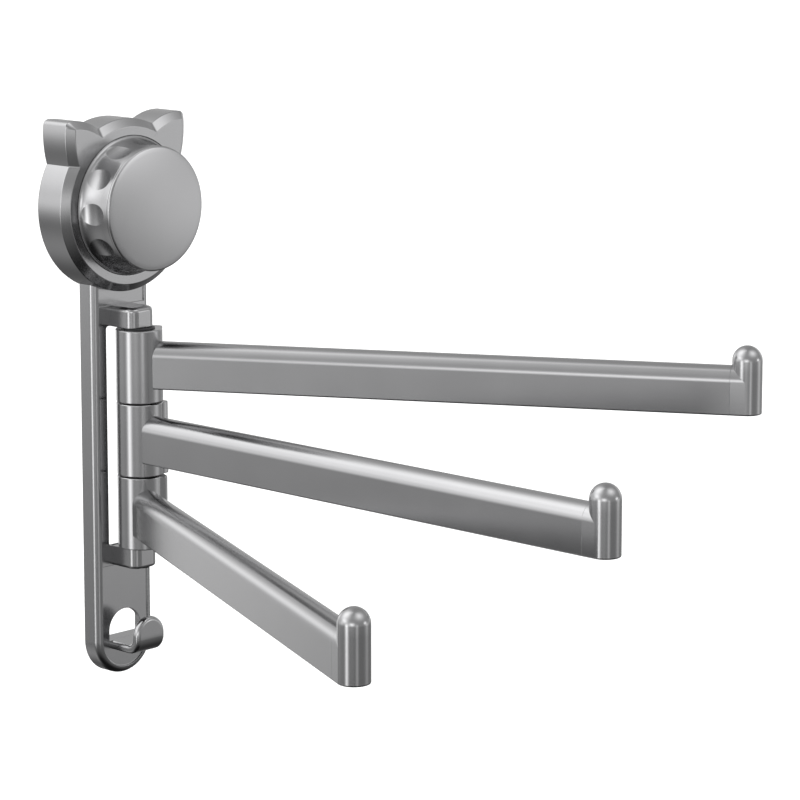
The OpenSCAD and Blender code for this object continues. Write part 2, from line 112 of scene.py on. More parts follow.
def rounded(points, closed=True, steps=ARC_STEPS):
    """Path through (x, y) or (x, y, radius) corners. An arc touches both sides of a corner: its centre
    lies on the bisector, radius / sin(half the opening) from the corner."""
    flat = [np.array(p[:2], float) for p in points]
    out = []
    for i, p in enumerate(points):
        corner, radius = flat[i], (p[2] if len(p) > 2 else 0)
        if radius == 0 or (not closed and i in (0, len(points) - 1)):
            out.append(corner[None])
            continue
        back, ahead = unit(flat[i - 1] - corner), unit(flat[(i + 1) % len(flat)] - corner)
        half = math.acos(np.clip(back @ ahead, -1, 1)) / 2
        reach, turn = radius / math.tan(half), math.pi - 2 * half
        centre = corner + unit(back + ahead) * radius / math.sin(half)
        t = np.linspace(0, 1, steps + 1)[:, None]
        first, last = corner + back * reach - centre, corner + ahead * reach - centre
        bend = (np.sin((1 - t) * turn) * first + np.sin(t * turn) * last) / math.sin(turn)
        out += [(corner + back * (reach + GUARD))[None], centre + bend,
                (corner + ahead * (reach + GUARD))[None]]
    return np.concatenate(out)


def inset(loop, distance):
    """The closed loop moved inwards: each point goes along its two sides' mean normal, by distance over
    the cosine of half their turn, so straight sides stay parallel. The loop runs anticlockwise."""
    before = loop - np.roll(loop, 1, axis=0)
    after = np.roll(loop, -1, axis=0) - loop
    before /= np.linalg.norm(before, axis=1, keepdims=True)
    after /= np.linalg.norm(after, axis=1, keepdims=True)
    normal = np.stack([-before[:, 1] - after[:, 1], before[:, 0] + after[:, 0]], 1)
    normal /= np.linalg.norm(normal, axis=1, keepdims=True)
    cosine = np.abs(-normal[:, 0] * before[:, 1] + normal[:, 1] * before[:, 0])
    return loop + normal * (distance / np.maximum(cosine, 0.2))[:, None]


def grid_quads(rows, columns, wrap_rows=False, wrap_columns=True):
    """Corner numbers of the quads between neighbouring rows and columns."""
    i, j = np.meshgrid(np.arange(rows - (not wrap_rows)), np.arange(columns - (not wrap_columns)),
                       indexing="ij")
    k, m = (i + 1) % rows, (j + 1) % columns
    return np.stack([i * columns + j, i * columns + m, k * columns + m, k * columns + j],
                    -1).reshape(-1, 4)


square = rounded([(0, 0, 1), (9, 0, 1), (9, 9, 1), (0, 9, 1)])
print("a square with rounded corners has", len(square), "points")

# %% [markdown]
# A shell is a closed surface: an array of points and its faces. It is a grid of points, a profile turned
# round an axis, or an outline pushed from one height to another with its edges rounded on the way.

# %% Shells


def grid_shell(points, wrap_rows=False, wrap_columns=True):
    """Shell of a grid of points shaped (rows, columns, 3)."""
    rows, columns = points.shape[:2]
    return points.reshape(-1, 3), grid_quads(rows, columns, wrap_rows, wrap_columns).tolist()


def revolve(profile, place, count=96):
    """Shell of a (radius, height) profile turned round the axis: x = r cos a, y = r sin a."""
    a = np.linspace(0, 2 * np.pi, count, endpoint=False)
    r, w = profile[:, :1], profile[:, 1:]
    return grid_shell(place(np.stack([r * np.cos(a), r * np.sin(a), w + 0 * a], -1)))


def edge_path(low, high, low_edge, high_edge):
    """Path of (inset, height) that climbs the side of a slab: in along the low flat, round the low
    edge, up the side, round the high edge and in again."""
    return rounded([(low_edge + 2 * GUARD, low), (0, low, low_edge), (0, high, high_edge),
                    (high_edge + 2 * GUARD, high)], closed=False)


def slab(outline, holes, low, high, place, low_edge=0.3, high_edge=0.3):
    """Shell of an outline with holes, pushed from low to high with rounded edges. The loops climb by
    edge_path, and the flats inside them are cut into triangles."""
    points, faces, start, rims = [], [], 0, ([], [])
    climb = edge_path(low, high, low_edge, high_edge)
    for index, loop in enumerate([outline] + list(holes)):
        loops = [inset(loop, s if index == 0 else -s) for s, _ in climb]
        points += [np.column_stack([flat, np.full(len(loop), w)]) for flat, (_, w) in zip(loops, climb)]
        faces += (grid_quads(len(loops), len(loop)) + start).tolist()
        rims[0].append((loops[0], start))
        rims[1].append((loops[-1], start + (len(loops) - 1) * len(loop)))
        start += len(loops) * len(loop)
    for rim in rims:
        number = np.concatenate([first + np.arange(len(loop)) for loop, first in rim])
        flats = geometry.tessellate_polygon([[(x, y, 0) for x, y in loop] for loop, _ in rim])
        faces += [[int(number[i]) for i in triangle] for triangle in flats]
    return place(np.concatenate(points)), faces


tile = slab(square, [], 0, 2, lambda p: p)
print("a tile from it has", len(tile[0]), "points and", len(tile[1]), "faces")

# %% [markdown]
# A piece is a set of shells. Building it merges the points that coincide, which closes seams and poles,
# turns all faces outwards, and marks only real corners as sharp. The place stays in the mesh, so the
# object itself sits at the origin. The last two functions say how a shape's own axes lie in the scene.

# %% Pieces
WELD_MM = 0.002
SHARP_DEG = 38


def joined(shells):
    """Several open shells as one, so that their shared edges weld into a closed surface."""
    points, faces, start = [], [], 0
    for p, f in shells:
        points.append(p)
        faces += [[i + start for i in face] for face in f]
        start += len(p)
    return np.concatenate(points), faces


def welded(points, faces):
    """Mesh of one shell, in metres, whose coinciding points are made one."""
    mesh = bpy.data.meshes.new("shell")
    mesh.from_pydata(np.asarray(points) * MM, [], faces)
    shell = bmesh.new()
    shell.from_mesh(mesh)
    bmesh.ops.remove_doubles(shell, verts=shell.verts, dist=WELD_MM * MM)
    shell.to_mesh(mesh)
    shell.free()
    return mesh


def build(name, shells, body, node, material):
    """Joins the shells into one mesh in metres and lets it ride and stand for its node."""
    model = bmesh.new()
    for shell in shells:
        part = welded(*shell)
        model.from_mesh(part)
        bpy.data.meshes.remove(part)
    bmesh.ops.dissolve_degenerate(model, dist=WELD_MM * MM / 4, edges=model.edges)
    bmesh.ops.recalc_face_normals(model, faces=model.faces)
    open_edges = sum(1 for e in model.edges if not e.is_manifold)
    mesh = bpy.data.meshes.new(name)
    model.to_mesh(mesh)
    model.free()
    mesh.shade_smooth()
    mesh.set_sharp_from_angle(angle=math.radians(SHARP_DEG))
    mesh.materials.append(material)
    piece = bpy.data.objects.new(name, mesh)
    bpy.context.scene.collection.objects.link(piece)
    if body:
        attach(piece, body)
    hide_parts(node)
    co = np.empty(len(mesh.vertices) * 3, np.float32)
    mesh.vertices.foreach_get("co", co)
    co = co.reshape(-1, 3) / MM
    low, high = (np.array(corner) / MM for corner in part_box(node))
    print(f"{name}: {len(mesh.polygons)} faces, {open_edges} open edges, "
          f"box off by {np.round(co.min(0) - low, 2)} and {np.round(co.max(0) - high, 2)} mm")
    return piece


def on_wall(p):
    """(x, z, distance from the wall) becomes (X, Y, Z)."""
    return np.stack([p[..., 0], -p[..., 2], p[..., 1]], -1)


def upright(p):
    """(x, distance from the wall, height) becomes (X, Y, Z)."""
    return np.stack([p[..., 0], -p[..., 1], p[..., 2]], -1)


print("a point 5 mm off the wall and 9 mm up:", on_wall(np.array([0.0, 9.0, 5.0])))

# %% [markdown]
# A material is a small tree of shader nodes. One function adds a node, and another one makes a surface
# with them. No surface is perfectly even, so each one's roughness and colour wander a little.

# %% Nodes and surfaces


def srgb(code):
    """Hex colour to linear values: c / 12.92 below 0.04045, else ((c + 0.055) / 1.055) ** 2.4."""
    c = np.array([int(code[i:i + 2], 16) for i in (1, 3, 5)]) / 255
    linear = np.where(c <= 0.04045, c / 12.92, ((c + 0.055) / 1.055) ** 2.4)
    return (*(float(v) for v in linear), 1.0)


def add(tree, kind, inputs=None, settings=None, **values):
    """One node of a kind. Settings are its own properties, values are sockets by name with _ for a
    space, and inputs are sockets by name or number. An input is a number, another node's output, or a
    node, which stands for its first output."""
    new = tree.nodes.new(kind)
    for key, value in (settings or {}).items():
        setattr(new, key, value)
    for key, value in values.items():
        new.inputs[key.replace("_", " ")].default_value = value
    for key, value in (inputs or {}).items():
        source = value.outputs[0] if isinstance(value, bpy.types.Node) else value
        if isinstance(source, bpy.types.NodeSocket):
            tree.links.new(source, new.inputs[key])
        else:
            new.inputs[key].default_value = source
    return new


CLOUD_RATIO = 40
NOISE_LOW, NOISE_HIGH = 0.7, 1.3


def material(name, colours, metallic, roughness, grain_mm, spread, bump_mm=0.0, **surface):
    """Principled surface whose roughness and colour wander with a noise of grain_mm and a broader one,
    and whose height wanders by bump_mm."""
    made = bpy.data.materials.new(name)
    made.use_nodes = True
    tree = made.node_tree
    shader = tree.nodes["Principled BSDF"]
    shader.inputs["Metallic"].default_value = metallic
    for key, value in surface.items():
        shader.inputs[key.replace("_", " ")].default_value = value
    place = add(tree, "ShaderNodeTexCoord").outputs["Object"]
    scale = 1 / (grain_mm * MM)
    grain = add(tree, "ShaderNodeTexNoise", {"Vector": place}, Scale=scale, Detail=4.0)
    cloud = add(tree, "ShaderNodeTexNoise", {"Vector": place}, Scale=scale / CLOUD_RATIO, Detail=2.0)
    both = add(tree, "ShaderNodeMath", {0: grain, 1: cloud}, {"operation": "ADD"})
    rough = add(tree, "ShaderNodeMapRange", {"Value": both}, From_Min=NOISE_LOW, From_Max=NOISE_HIGH,
                To_Min=roughness - spread, To_Max=roughness + spread)
    tree.links.new(rough.outputs["Result"], shader.inputs["Roughness"])
    share = add(tree, "ShaderNodeMapRange", {"Value": both}, From_Min=NOISE_LOW, From_Max=NOISE_HIGH)
    tint = add(tree, "ShaderNodeMix", {0: share, 6: srgb(colours[0]), 7: srgb(colours[1])},
               {"data_type": "RGBA"})
    tree.links.new(tint.outputs[2], shader.inputs["Base Color"])
    if bump_mm:
        bump = add(tree, "ShaderNodeBump", {"Height": grain}, Distance=bump_mm * MM)
        tree.links.new(bump.outputs["Normal"], shader.inputs["Normal"])
    return made


print("mid grey #808080 is", round(srgb("#808080")[0], 3), "in linear light")

# %% [markdown]
# The whole rack has one finish, a satin metallic grey over metal castings and tube. It is a metal to
# the light, so the shader is fully metallic and the grey is its own colour. The lacquer's flake is too
# fine to show at this size, so it is drawn about ten times coarser, as a faint change of roughness.

# %% Materials
# Die cast aluminium, polished and sprayed with a clear grey metallic coat: reflections are soft.
satin_grey = material("satin_coated_casting", ("#9e9e9f", "#a2a2a3"), 1.0, 0.21, 0.6, 0.01)
# Drawn aluminium tube under the same coat, so the joints between tube and casting hardly show.
satin_tube = material("satin_coated_drawn_tube", ("#9e9e9f", "#a2a2a3"), 1.0, 0.21, 0.6, 0.01)
# Steel with a bright zinc plate: lighter than the coat and a little cloudy.
zinc = material("zinc_plated_steel", ("#b4b6b8", "#bfc0c0"), 1.0, 0.3, 1.0, 0.06)
# Brass as it comes off the lathe: yellow, with slightly uneven gloss.
brass = material("turned_brass", ("#c79f4f", "#d1aa5c"), 1.0, 0.28, 0.8, 0.05)
# Black plastic from a spark eroded mould: a fine matt grain, 0.01 mm deep.
black_plastic = material("black_moulded_plastic", ("#1d1e20", "#242527"), 0.0, 0.5, 0.4, 0.06, 0.01)
# Moulded acetal in its natural white: waxy and half matt.
white_plastic = material("white_acetal", ("#dcdad2", "#e4e2db"), 0.0, 0.42, 0.8, 0.05)
# Soft clear vinyl: glossy, and light passes into it, so it looks pale grey and wet.
clear_vinyl = material("clear_soft_vinyl", ("#c9d0d2", "#d3d9da"), 0.0, 0.16, 3.0, 0.03,
                       Transmission_Weight=0.55, IOR=1.52)
# Moulded rubber: dull, with a coarser grain than the plastic.
black_rubber = material("black_moulded_rubber", ("#1a1a1b", "#222223"), 0.0, 0.62, 0.5, 0.07, 0.02)

slot_material = {"satin_metal": satin_grey, "satin_tube": satin_tube, "zinc_steel": zinc, "brass": brass,
                 "black_plastic": black_plastic, "white_plastic": white_plastic,
                 "clear_rubber": clear_vinyl, "black_rubber": black_rubber}
for part in frame["record"]["subparts"]:
    mesh = frame["nodes"][part["node"]].data
    mesh.materials.clear()
    mesh.materials.append(slot_material[part["material_slot"]])
print("materials:", [m.name for m in slot_material.values()])

# %% [markdown]
# The head is a round casting with two pointed ears. Its outline is worked out for any distance inwards:
# a circle, and on each side two arcs that meet at the tip and cut the circle. Their centres and radii
# are shares of the circle's radius. Moving every arc inwards by the same distance gives the mitred
# creases that the bevel shows in the valleys and at the tips.

# %% Head outline
HEAD_R, EAR_TIP_R = 42.6, 3.0
EAR_OVER, EAR_OVER_R = HEAD_R * np.array([0.8, 0.278]), HEAD_R * 0.7465
EAR_SIDE, EAR_SIDE_R = HEAD_R * np.array([-0.228, 0.845]), HEAD_R * 1.136


def crossing(a, ra, b, rb, side):
    """Where two circles cross, left of the line from a to b for side 1 and right of it for -1."""
    d = np.linalg.norm(b - a)
    x = (d * d + ra * ra - rb * rb) / (2 * d)
    along = (b - a) / d
    return a + x * along + side * math.sqrt(ra * ra - x * x) * np.array([-along[1], along[0]])


def sweep(centre, start, end, steps, turns=0):
    """Points from start to just before end round the centre, the short way or with turns added."""
    a0, a1 = (math.atan2(*(p - centre)[::-1]) for p in (start, end))
    a1 = a0 + (a1 - a0 + math.pi) % (2 * math.pi) - math.pi + turns * 2 * math.pi
    a = np.linspace(a0, a1, steps, endpoint=False)
    return centre + np.linalg.norm(start - centre) * np.stack([np.cos(a), np.sin(a)], 1)


def head_outline(s):
    """Outline moved inwards by s: right ear, crown, left ear, and the long arc below."""
    origin, over_r, side_r = np.zeros(2), EAR_OVER_R - s, EAR_SIDE_R - s
    tip_r = max(EAR_TIP_R - s, 0.002)
    low = crossing(origin, HEAD_R - s, EAR_SIDE, side_r, -1)
    valley = crossing(origin, HEAD_R - s, EAR_OVER, over_r, 1)
    tip = crossing(EAR_SIDE, side_r - tip_r, EAR_OVER, over_r - tip_r, 1)
    on_side, on_over = (c + r * unit(tip - c) for c, r in ((EAR_SIDE, side_r), (EAR_OVER, over_r)))
    right = np.concatenate([sweep(EAR_SIDE, low, on_side, 26), sweep(tip, on_side, on_over, 10),
                            sweep(EAR_OVER, on_over, valley, 26), valley[None]])
    left = right[::-1] * [-1, 1]
    crown = sweep(origin, valley, left[0], 40)[1:]
    below = sweep(origin, left[-1], low, 160, 1 if low[1] > 0 else 0)[1:]
    return np.concatenate([right, crown, left, below])


ring = head_outline(0)
print("head outline:", len(ring), "points; ears reach", np.round(ring.max(0), 2),
      "turn", round(float(np.degrees(np.unwrap(np.arctan2(ring[:, 1], ring[:, 0]))[-1])), 1))

# %% [markdown]
# The casting as one polar grid: each row is the outline at some inset, or a circle or square seen from
# the axis in the same directions. The rows run from the square hole over the recess, the rim and the
# sides, back over the wall edge, down the hollow ears and up the cavity that holds the suction cup.

# %% Head casting
HEAD_BACK, HEAD_FRONT, FLOOR_BACK, FLOOR_FRONT = 0.6, 20.8, 10.5, 13.3
BEVEL_W, BEVEL_D = 3.8, 3.3
RECESS_R, CAVITY_R, EAR_WALL = 34.3, 39.6, 2.6
HOLE_HALF = 5.65
FLOOR_EDGE, MOUTH_EDGE, BEVEL_EDGE, WALL_EDGE = 0.5, 0.3, 0.7, 0.9
CAVITY_MOUTH_EDGE, CAVITY_FLOOR_EDGE, POCKET_WALL = 0.3, 0.8, 0.6

way = ring / np.linalg.norm(ring, axis=1, keepdims=True)
square = way * (HOLE_HALF / np.abs(way).max(1))[:, None]
rows = [(square, FLOOR_BACK), (square, FLOOR_FRONT)]
inner = rounded([(RECESS_R - 1, FLOOR_FRONT), (RECESS_R, FLOOR_FRONT, FLOOR_EDGE),
                 (RECESS_R, HEAD_FRONT, MOUTH_EDGE), (RECESS_R + 1, HEAD_FRONT)], closed=False)
rows += [(way * r, d) for r, d in inner]
outer = rounded([(BEVEL_W + 0.6, HEAD_FRONT), (BEVEL_W, HEAD_FRONT, BEVEL_EDGE),
                 (0, HEAD_FRONT - BEVEL_D, BEVEL_EDGE), (0, HEAD_BACK, WALL_EDGE),
                 (EAR_WALL, HEAD_BACK)], closed=False)
rows += [(head_outline(s), d) for s, d in outer]
pocket = head_outline(EAR_WALL)
reach = np.linalg.norm(pocket, axis=1, keepdims=True)
deep = reach > HEAD_R + 0.2
ear_floor = np.where(deep[:, 0], HEAD_FRONT - BEVEL_D - EAR_WALL, HEAD_BACK)
pocket_out = pocket / reach * np.where(deep, reach, CAVITY_R + POCKET_WALL)
pocket_in = pocket / reach * np.where(deep, HEAD_R, CAVITY_R + POCKET_WALL)
rows += [(pocket_out, HEAD_BACK), (pocket_out, ear_floor), (pocket_in, ear_floor), (pocket_in, HEAD_BACK)]
cavity = rounded([(CAVITY_R + 0.5, HEAD_BACK), (CAVITY_R, HEAD_BACK, CAVITY_MOUTH_EDGE),
                  (CAVITY_R, FLOOR_BACK, CAVITY_FLOOR_EDGE), (CAVITY_R - 2, FLOOR_BACK)], closed=False)
rows += [(way * r, d) for r, d in cavity]
head_grid = np.stack([np.column_stack([flat, np.broadcast_to(d, len(flat))]) for flat, d in rows])
build("head_casting", [grid_shell(on_wall(head_grid), wrap_rows=True)], "root", "head_shell",
      satin_grey)

# %% [markdown]
# The knob's skirt flares out to the ring in one long cove. Its profile starts at the lip as a quarter of
# an ellipse, short across and long along the axis, and ends as a straight side. The length along it and
# its tilt at each point are kept, because the dimples are laid out on the unrolled skirt.

# %% Skirt profile
KNOB_R, KNOB_BACK, KNOB_FRONT, CAP_T = 30.6, 14.2, 39.5, 2.0
FLARE_R, LIP_D, COVE_L, TOP_EDGE = 34.12, 20.75, 13.0, 0.15

cove_w = FLARE_R - KNOB_R
skirt_top = KNOB_FRONT - CAP_T - TOP_EDGE
t = np.linspace(np.pi / 2, 0, 80)
profile = np.vstack([np.column_stack([FLARE_R - cove_w * np.cos(t), LIP_D + COVE_L * (1 - np.sin(t))]),
                     [KNOB_R, skirt_top]])
tilt = np.append(np.arctan2(cove_w * np.sin(t), COVE_L * np.cos(t)), 0)
run = np.append(0, np.cumsum(np.hypot(*np.diff(profile, axis=0).T)))
print("skirt profile:", round(float(run[-1]), 2), "mm long")

# %% [markdown]
# Eleven shallow dimples for the fingertips are pressed into the skirt. A dimple is an ellipse on the
# unrolled strip, sunk by depth * (1 - rho^2) square to the surface, where rho is 1 on its rim. One sector
# of the skirt is a grid that grows from the dimple's middle to its rim and on to the sector's border, so
# the rim is one row of points and stays crisp.

# %% Dimpled sector
DIMPLES, DIMPLE_DEPTH, DIMPLE_W, DIMPLE_HALF_W, DIMPLE_HALF_A = 11, 0.6, 8.6, 7.0, 0.173
BORDER_CROWDING = 1.3

half = math.pi / DIMPLES
side_w = np.linspace(0, 1, 25) ** BORDER_CROWDING * run[-1] - DIMPLE_W
edge_a = np.linspace(-half, half, 17)
border = np.concatenate([np.stack([edge_a, 0 * edge_a + side_w[0]], 1)[:-1],
                         np.stack([0 * side_w + half, side_w], 1)[:-1],
                         np.stack([edge_a[::-1], 0 * edge_a + side_w[-1]], 1)[:-1],
                         np.stack([0 * side_w - half, side_w[::-1]], 1)[:-1]])
rim = border / np.hypot(border[:, :1] / DIMPLE_HALF_A, border[:, 1:] / DIMPLE_HALF_W)
rho = np.concatenate([np.linspace(0, 0.9, 10), [0.95, 0.985, 1.0]])[:, None, None]
beyond = np.array([0.03, 0.1, 0.22, 0.36, 0.5, 0.64, 0.78, 0.9, 1.0])[:, None, None]
sector = np.concatenate([rho * rim, rim + beyond * (border - rim)])
depth = DIMPLE_DEPTH * np.concatenate([1 - rho ** 2, 0 * beyond])[..., 0]
w = sector[..., 1] + DIMPLE_W
bend = np.interp(w, run, tilt)
radius = np.interp(w, run, profile[:, 0]) - depth * np.cos(bend)
out = np.interp(w, run, profile[:, 1]) - depth * np.sin(bend)
print("sector grid:", sector.shape[0], "by", sector.shape[1], "points")

# %% [markdown]
# The sectors are set side by side round the axis and welded. Two turned surfaces on the same border
# points close the piece: the back with the bore that the stud's rod slides in, and the top under the
# disc.

# %% Knob skirt
DIMPLE_TURN_DEG = 182
BORE_R, BORE_END, SKIRT_EDGE = 4.8, 30.0, 0.5

skirt = []
for i in range(DIMPLES):
    turn = sector[..., 0] + math.radians(DIMPLE_TURN_DEG) + 2 * half * i
    skirt.append(grid_shell(on_wall(np.stack([radius * np.cos(turn), radius * np.sin(turn), out], -1))))
turns = math.radians(DIMPLE_TURN_DEG) + np.concatenate(
    [edge_a[:-1] + 2 * half * i for i in range(DIMPLES)])
back = rounded([(0, BORE_END), (BORE_R, BORE_END), (BORE_R, KNOB_BACK),
                (FLARE_R, KNOB_BACK, SKIRT_EDGE), (FLARE_R, LIP_D)], closed=False)
top = np.array([[KNOB_R, skirt_top], [KNOB_R - 0.2 * TOP_EDGE, skirt_top + 0.6 * TOP_EDGE],
                [KNOB_R - TOP_EDGE, skirt_top + TOP_EDGE], [0, skirt_top + TOP_EDGE]])
for path in (back, top):
    skirt.append(grid_shell(on_wall(np.stack(
        [path[:, :1] * np.cos(turns), path[:, :1] * np.sin(turns), path[:, 1:] + 0 * turns], -1))))
build("knob_skirt", [joined(skirt)], "knob", "knob_body", satin_grey)

# %% [markdown]
# A thin disc closes the knob. It is turned, so it is a profile turned round the axis. Its front is very
# slightly domed, by a millimetre, which makes the light run across it, and the small round on its edge
# shows as a thin ring.

# %% Knob cap
DOME_H, CAP_EDGE, RIM_DROP, CAP_SEAT, CAP_BACK_EDGE = 1.0, 0.9, 0.35, 0.05, 0.15
rim_d = KNOB_FRONT - RIM_DROP
cap_back = KNOB_FRONT - CAP_T + CAP_SEAT
share = np.linspace(1, 0, 13)[1:, None]
dome = np.hstack([(KNOB_R - CAP_EDGE) * share, rim_d + DOME_H * (1 - share ** 2)])
edge = rounded([(0, cap_back), (KNOB_R, cap_back, CAP_BACK_EDGE), (KNOB_R, rim_d, CAP_EDGE),
                (KNOB_R - CAP_EDGE - 0.3, rim_d)], closed=False)
build("knob_disc", [revolve(np.concatenate([edge[:-2], dome]), on_wall, 176)], "knob", "knob_cap",
      satin_grey)

# %% [markdown]
# Each hub is a sleeve with a squared shoulder on one side, which meets the plate and ends the swing. Its
# plan is one outline pushed upwards, with the edges slightly broken. The spigot that goes into the
# arm's tube is a second shell. On each level the pieces stand at the angle that the arm has at rest.

# %% Hubs
PIN_OUT, HUB_R, HUB_H, HUB_EDGE = 25.4, 11.5, 36.0, 0.45
HUB_BORE_R, STOP_L, STOP_R = 4.42, 9.0, 2.0
ARM_LIFT, ARM_W, ARM_H, ARM_WALL, ARM_REACH = 7.0, 14.4, 23.0, 1.6, 300.0
SPIGOT_GAP, SPIGOT_L, SPIGOT_EDGE, COLLAR_X, FIT = 0.1, 24.0, 0.4, 292.8, 0.05
LEVELS = {"top": (-96.3, 60), "middle": (-132.9, 90), "bottom": (-169.5, 115)}


def on_level(level):
    """Function that places (along the arm, across, up) points of a level, turned about the pin."""
    z, angle = LEVELS[level]
    c, s = math.cos(math.radians(angle)), math.sin(math.radians(angle))

    def place(p):
        return np.stack([p[..., 0] * c + p[..., 1] * s, -PIN_OUT - p[..., 0] * s + p[..., 1] * c,
                         p[..., 2] + z], -1)
    return place


def arm_loop(edge=0.7):
    """Section of the arm as a closed (across, up) loop: flat sides, half round top, rounded bottom."""
    r, top = ARM_W / 2, ARM_H - ARM_W / 2
    base = rounded([(-r, 4), (-r, 0, edge), (r, 0, edge), (r, 4)], closed=False)
    return np.concatenate([base, [[r, top - GUARD]], arc((0, top), r, 0, 180, 36), [[-r, top - GUARD]]])


def bar(loop, start, end, edge):
    """Bar of a section from x = start(across) to x = end. Each end is a star of loops shrunk towards the
    section's middle, then a round of the given edge."""
    middle = np.array([0, ARM_H / 2])
    rows = []
    for turn, climb in ((1, edge_path(0, 9, edge, 0)[:-1]), (-1, edge_path(0, 9, edge, 0)[-2::-1])):
        face = [(middle + (inset(loop, climb[0 if turn > 0 else -1][0]) - middle) * t, 0.0)
                for t in (0, 0.35, 0.7, 1.0)]
        sides = [(inset(loop, s), w) for s, w in climb]
        for flat, w in (face + sides if turn > 0 else sides + face[::-1]):
            x = start(flat[:, 0]) + w if turn > 0 else end - w + 0 * flat[:, 0]
            rows.append(np.column_stack([x, flat]))
    return np.stack(rows)


corner = math.degrees(math.asin(math.sqrt(HUB_R ** 2 - STOP_L ** 2) / HUB_R))
hub_plan = np.concatenate([arc((0, 0), HUB_R, 90, 360 + corner, 90)[:-1],
                           rounded([(STOP_L, math.sqrt(HUB_R ** 2 - STOP_L ** 2)),
                                    (STOP_L, HUB_R, STOP_R), (0.3, HUB_R)], closed=False)])
bore = arc((0, 0), HUB_BORE_R, 0, 360, 48)[:-1]
spigot_loop = inset(arm_loop(2.2), ARM_WALL + SPIGOT_GAP)
for level in LEVELS:
    place = on_level(level)
    spigot = bar(spigot_loop, lambda y: HUB_R - 2 + 0 * y, HUB_R + SPIGOT_L, SPIGOT_EDGE)
    spigot += [0, 0, ARM_LIFT]
    build(f"swing_hub_{level}", [slab(hub_plan, [bore], 0, HUB_H, place, HUB_EDGE, HUB_EDGE),
                                 grid_shell(place(spigot))],
          f"swing_arm_{level}", f"hub_{level}", satin_grey)

# %% [markdown]
# The arms are drawn tube with flat sides and a half round top, which is what lets a towel slide on
# easily. The tube's end is coped to the sleeve, x = sqrt(r^2 - y^2), and its edge is slightly broken,
# so a fine dark line shows where the two meet.

# %% Arms
TUBE_EDGE = 0.12
for level in LEVELS:
    tube = bar(arm_loop(), lambda y: np.sqrt((HUB_R + FIT) ** 2 - y ** 2), COLLAR_X - FIT, TUBE_EDGE)
    build(f"arm_tube_{level}", [grid_shell(on_level(level)(tube + [0, 0, ARM_LIFT]))],
          f"swing_arm_{level}", f"arm_{level}", satin_tube)

# %% [markdown]
# An end post is a round bar with a domed top and a short collar of the arm's own section. Both have the
# same radius, so they meet on a plane at 45 degrees, z - h = x0 - x: the crease seen in the photo. The
# lower half is the plan pushed upwards, and the collar's top is a grid up to that plane.

# %% Collar
POST_RISE, POST_EDGE, POST_SPIGOT_L = 9.7, 0.7, 14.0
post_r, shoulder_z = ARM_W / 2, ARM_H - ARM_W / 2
dome_z = ARM_H + POST_RISE - post_r
round_deg = np.linspace(-90, 90, 37)
collar_t = np.array([0, 0.3, 0.6, 0.9, 0.98, 1.0])
collar_x = COLLAR_X + post_r * collar_t
nose = arc((ARM_REACH, 0), post_r, -90, 90, 36)
plan = np.concatenate([np.stack([collar_x[:-1], 0 * collar_x[:-1] - post_r], 1), nose,
                       np.stack([collar_x[-2::-1], 0 * collar_x[:-1] + post_r], 1)])
climb = rounded([(POST_EDGE + 2 * GUARD, 0), (0, 0, POST_EDGE), (0, shoulder_z)], closed=False)
low_rows = []
for s, z in climb:
    flat = inset(plan, s)
    flat[plan[:, 0] < COLLAR_X + 0.001, 0] = COLLAR_X
    low_rows.append(np.column_stack([flat, np.full(len(flat), z)]))
low_rows = np.stack(low_rows)
base = geometry.tessellate_polygon([[(x, y, 0) for x, y in low_rows[0][:, :2]]])
lower = (low_rows.reshape(-1, 3), grid_quads(*low_rows.shape[:2]).tolist() + [list(t) for t in base])

phi = np.radians(round_deg)
y, up = post_r * np.sin(phi), post_r * np.cos(phi)
top_x = COLLAR_X + (post_r - up) * collar_t[:, None]
collar = np.stack(np.broadcast_arrays(top_x, y, shoulder_z + up), -1)
end_face = (np.column_stack([0 * y + COLLAR_X, y, shoulder_z + up]), [list(range(len(y)))])
print("collar:", low_rows.shape[0], "loops below and a grid of", collar.shape[:2], "above")

# %% [markdown]
# The post starts from the crease, so its lowest row rises and falls with the angle. It climbs as a
# cylinder and ends in half a ball. All parts share their border points and weld into one shell, and the
# spigot that goes into the tube is a second one.

# %% End posts
a = np.radians(np.linspace(0, 360, 73)[:-1])
foot = shoulder_z + post_r * np.maximum(-np.cos(a), 0)
heights = [foot, foot + 0.02 * (dome_z - foot), foot + 0.5 * (dome_z - foot), 0 * a + dome_z]
upper = [(post_r, z) for z in heights]
upper += [(post_r * math.cos(t), dome_z + post_r * math.sin(t) + 0 * a)
          for t in np.linspace(0, np.pi / 2, 19)[1:]]
post_top = np.stack([np.stack([ARM_REACH + r * np.cos(a), r * np.sin(a), z], -1) for r, z in upper])

post_points, post_faces = joined([lower, grid_shell(collar, wrap_columns=False), end_face,
                                  grid_shell(post_top)])
post_spigot = bar(spigot_loop, lambda y: COLLAR_X - POST_SPIGOT_L + 0 * y, ARM_REACH - 2, SPIGOT_EDGE)
for level in LEVELS:
    place = on_level(level)
    lift = np.array([0, 0, ARM_LIFT])
    build(f"end_post_{level}", [(place(post_points + lift), post_faces),
                                grid_shell(place(post_spigot + lift))],
          f"swing_arm_{level}", f"post_{level}", satin_grey)

# %% [markdown]
# The plate is a shallow casting: a raised rim follows its outline, and the web inside lies a little
# below it. The rim's section is swept down one side, round the foot and up the other side. The upper
# ends follow the head's circle, z = -sqrt(R^2 - x^2), where the plate meets the casting.

